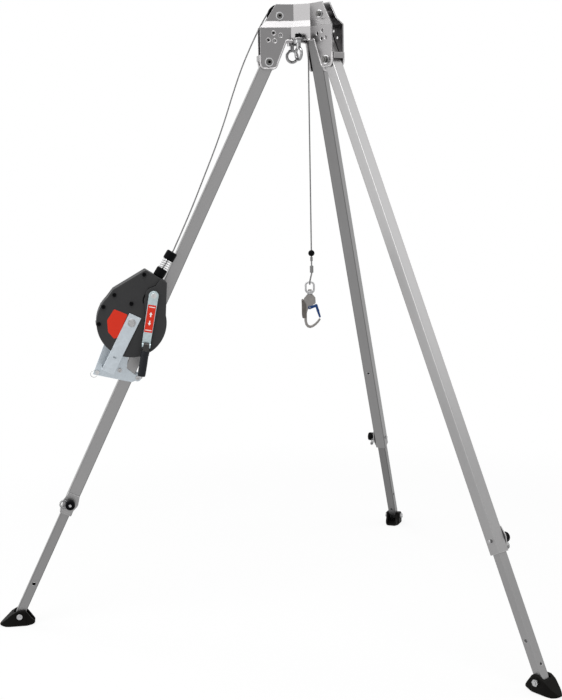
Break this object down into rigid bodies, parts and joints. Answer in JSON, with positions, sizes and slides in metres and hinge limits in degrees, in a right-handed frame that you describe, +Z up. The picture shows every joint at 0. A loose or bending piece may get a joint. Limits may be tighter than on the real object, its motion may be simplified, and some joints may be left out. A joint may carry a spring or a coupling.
{
  "type": "rescue tripod",
  "caption": "Confined-space rescue tripod with folding telescopic legs, a leg-mounted hand winch and a wire rope over head pulleys to a swivel snap hook.",
  "frame": {"origin": "on the floor, at the centre of the outline of the standing tripod", "axes": "+Z up; +Y to the rear leg; the winch is on the front left leg and the third leg is front right"},
  "size_m": [1.8544, 1.609, 2.0121],
  "materials": {
    "alloy_head": "satin",
    "alloy_tube": "satin",
    "alloy_fittings": "satin",
    "steel_bright": "polished",
    "zinc_plate": "satin",
    "black_plastic": "matte",
    "case_plastic": "matte",
    "rubber": "matte",
    "rope_steel": "satin",
    "forged_steel": "satin",
    "gate_blue": "satin",
    "bronze": "satin"
  },
  "bodies": {
    "head": {"head_plate_front": "alloy_head", "head_plate_right": "alloy_head", "head_plate_left": "alloy_head", "stop_bars": "alloy_fittings", "pivot_bolts": "steel_bright", "axle_bolts": "steel_bright", "head_spacers": "alloy_fittings", "pulley_cheeks": "alloy_fittings", "anchor_eyes": "steel_bright", "anchor_nuts": "black_plastic", "rope_over": "rope_steel", "rope_hang": "rope_steel"},
    "leg_pulley": {"leg_pulley": "black_plastic"},
    "centre_pulley": {"centre_pulley": "black_plastic"},
    "upper_leg_a": {"upper_tube_a": "alloy_tube", "pin_guide_a": "alloy_fittings", "case_rear": "case_plastic", "case_front": "case_plastic", "case_cover": "black_plastic", "case_screws": "black_plastic", "winch_bracket": "zinc_plate", "leg_clamp": "zinc_plate", "bracket_bolts": "steel_bright", "drum_axle": "steel_bright", "recoil_spring": "steel_bright", "outlet_lower": "rubber", "outlet_upper": "rubber", "outlet_spring": "steel_bright", "rope_riser": "rope_steel"},
    "lower_leg_a": {"lower_tube_a": "alloy_tube", "foot_bolt_a": "steel_bright"},
    "lock_pin_a": {"lock_pin_a": "black_plastic"},
    "foot_a": {"foot_a": "rubber"},
    "upper_leg_b": {"upper_tube_b": "alloy_tube", "pin_guide_b": "alloy_fittings"},
    "lower_leg_b": {"lower_tube_b": "alloy_tube", "foot_bolt_b": "steel_bright"},
    "lock_pin_b": {"lock_pin_b": "black_plastic"},
    "foot_b": {"foot_b": "rubber"},
    "upper_leg_c": {"upper_tube_c": "alloy_tube", "pin_guide_c": "alloy_fittings"},
    "lower_leg_c": {"lower_tube_c": "alloy_tube", "foot_bolt_c": "steel_bright"},
    "lock_pin_c": {"lock_pin_c": "black_plastic"},
    "foot_c": {"foot_c": "rubber"},
    "drum": {"drum": "steel_bright", "wound_rope": "rope_steel", "drive_gear": "bronze"},
    "crank": {"crank_shaft": "steel_bright", "crank_arm": "alloy_fittings"},
    "crank_grip": {"crank_grip": "black_plastic"},
    "bracket_pin": {"bracket_pin": "steel_bright"},
    "rope_tail": {"rope_ball": "black_plastic", "rope_end": "rope_steel", "swivel_link": "forged_steel"},
    "hook": {"hook_body": "forged_steel"},
    "hook_gate": {"hook_gate": "gate_blue"},
    "hook_lever": {"hook_lever": "forged_steel"}
  },
  "joints": [
    {"name": "leg_fold_a", "type": "hinge", "parent": "head", "child": "upper_leg_a", "pos_m": [-0.10912, -0.32606, 1.82909], "axis": [0.5, -0.866, 0], "range_deg": [0, 26], "deforming": ["rope_riser"]},
    {"name": "leg_extend_a", "type": "slide", "parent": "upper_leg_a", "child": "lower_leg_a", "axis": [-0.3796, -0.2192, -0.8988], "range_m": [0, 0.6]},
    {"name": "pin_pull_a", "type": "slide", "parent": "upper_leg_a", "child": "lock_pin_a", "axis": [0.5, -0.866, 0], "range_m": [0, 0.06]},
    {"name": "foot_tilt_a", "type": "hinge", "parent": "lower_leg_a", "child": "foot_a", "pos_m": [-0.8665, -0.76334, 0.036], "axis": [0.5, -0.866, 0], "range_deg": [-26, 15]},
    {"name": "leg_fold_b", "type": "hinge", "parent": "head", "child": "upper_leg_b", "pos_m": [0, -0.13706, 1.82909], "axis": [-1, 0, 0], "range_deg": [0, 26]},
    {"name": "leg_extend_b", "type": "slide", "parent": "upper_leg_b", "child": "lower_leg_b", "axis": [0, 0.4384, -0.8988], "range_m": [0, 0.6]},
    {"name": "pin_pull_b", "type": "slide", "parent": "upper_leg_b", "child": "lock_pin_b", "axis": [-1, 0, 0], "range_m": [0, 0.06]},
    {"name": "foot_tilt_b", "type": "hinge", "parent": "lower_leg_b", "child": "foot_b", "pos_m": [0, 0.73749, 0.036], "axis": [-1, 0, 0], "range_deg": [-26, 15]},
    {"name": "leg_fold_c", "type": "hinge", "parent": "head", "child": "upper_leg_c", "pos_m": [0.10912, -0.32606, 1.82909], "axis": [0.5, 0.866, 0], "range_deg": [0, 26]},
    {"name": "leg_extend_c", "type": "slide", "parent": "upper_leg_c", "child": "lower_leg_c", "axis": [0.3796, -0.2192, -0.8988], "range_m": [0, 0.6]},
    {"name": "pin_pull_c", "type": "slide", "parent": "upper_leg_c", "child": "lock_pin_c", "axis": [0.5, 0.866, 0], "range_m": [0, 0.06]},
    {"name": "foot_tilt_c", "type": "hinge", "parent": "lower_leg_c", "child": "foot_c", "pos_m": [0.8665, -0.76334, 0.036], "axis": [0.5, 0.866, 0], "range_deg": [-26, 15]},
    {"name": "drum_turn", "type": "hinge", "parent": "upper_leg_a", "child": "drum", "pos_m": [-0.51811, -0.56219, 1.01136], "axis": [-0.5, 0.866, 0], "range_deg": [0, 400]},
    {"name": "crank_turn", "type": "hinge", "parent": "upper_leg_a", "child": "crank", "pos_m": [-0.45564, -0.52612, 1.09769], "axis": [-0.5, 0.866, 0], "range_deg": [-1601, 0]},
    {"name": "grip_fold", "type": "hinge", "parent": "crank", "child": "crank_grip", "pos_m": [-0.4212, -0.64573, 0.94052], "axis": [-0.8507, -0.4911, 0.1874], "range_deg": [0, 90]},
    {"name": "bracket_pin_pull", "type": "slide", "parent": "upper_leg_a", "child": "bracket_pin", "axis": [0.5, -0.866, 0], "range_m": [0, 0.03]},
    {"name": "leg_pulley_turn", "type": "hinge", "parent": "head", "child": "leg_pulley", "pos_m": [-0.07621, -0.30706, 1.97409], "axis": [0.5, -0.866, 0], "range_deg": [0, 709]},
    {"name": "centre_pulley_turn", "type": "hinge", "parent": "head", "child": "centre_pulley", "pos_m": [-0.01126, -0.26956, 1.97909], "axis": [0.5, -0.866, 0], "range_deg": [0, 1241]},
    {"name": "hook_lift", "type": "slide", "parent": "head", "child": "rope_tail", "axis": [0, 0, 1], "range_m": [0, 0.4333], "deforming": ["rope_hang"]},
    {"name": "hook_swivel", "type": "hinge", "parent": "rope_tail", "child": "hook", "pos_m": [-0.00047, -0.26207, 1.069], "axis": [0, 0, 1], "continuous": true},
    {"name": "gate_open", "type": "hinge", "parent": "hook", "child": "hook_gate", "pos_m": [-0.00141, -0.26243, 1.028], "axis": [-0.3584, 0.9336, 0], "range_deg": [0, 28], "stiffness_Nm_per_rad": 0.06, "springref_deg": -17.19},
    {"name": "lever_press", "type": "hinge", "parent": "hook", "child": "hook_lever", "pos_m": [-0.02335, -0.27085, 1.052], "axis": [0.3584, -0.9336, 0], "range_deg": [0, 3.5], "stiffness_Nm_per_rad": 0.1, "springref_deg": -17.19}
  ],
  "couplings": [
    {"joint": "crank_turn", "follows": "drum_turn", "ratio": -4},
    {"joint": "leg_pulley_turn", "follows": "drum_turn", "ratio": 1.7714},
    {"joint": "centre_pulley_turn", "follows": "drum_turn", "ratio": 3.1},
    {"joint": "hook_lift", "follows": "drum_turn", "m_per_rad": 0.062}
  ]
}
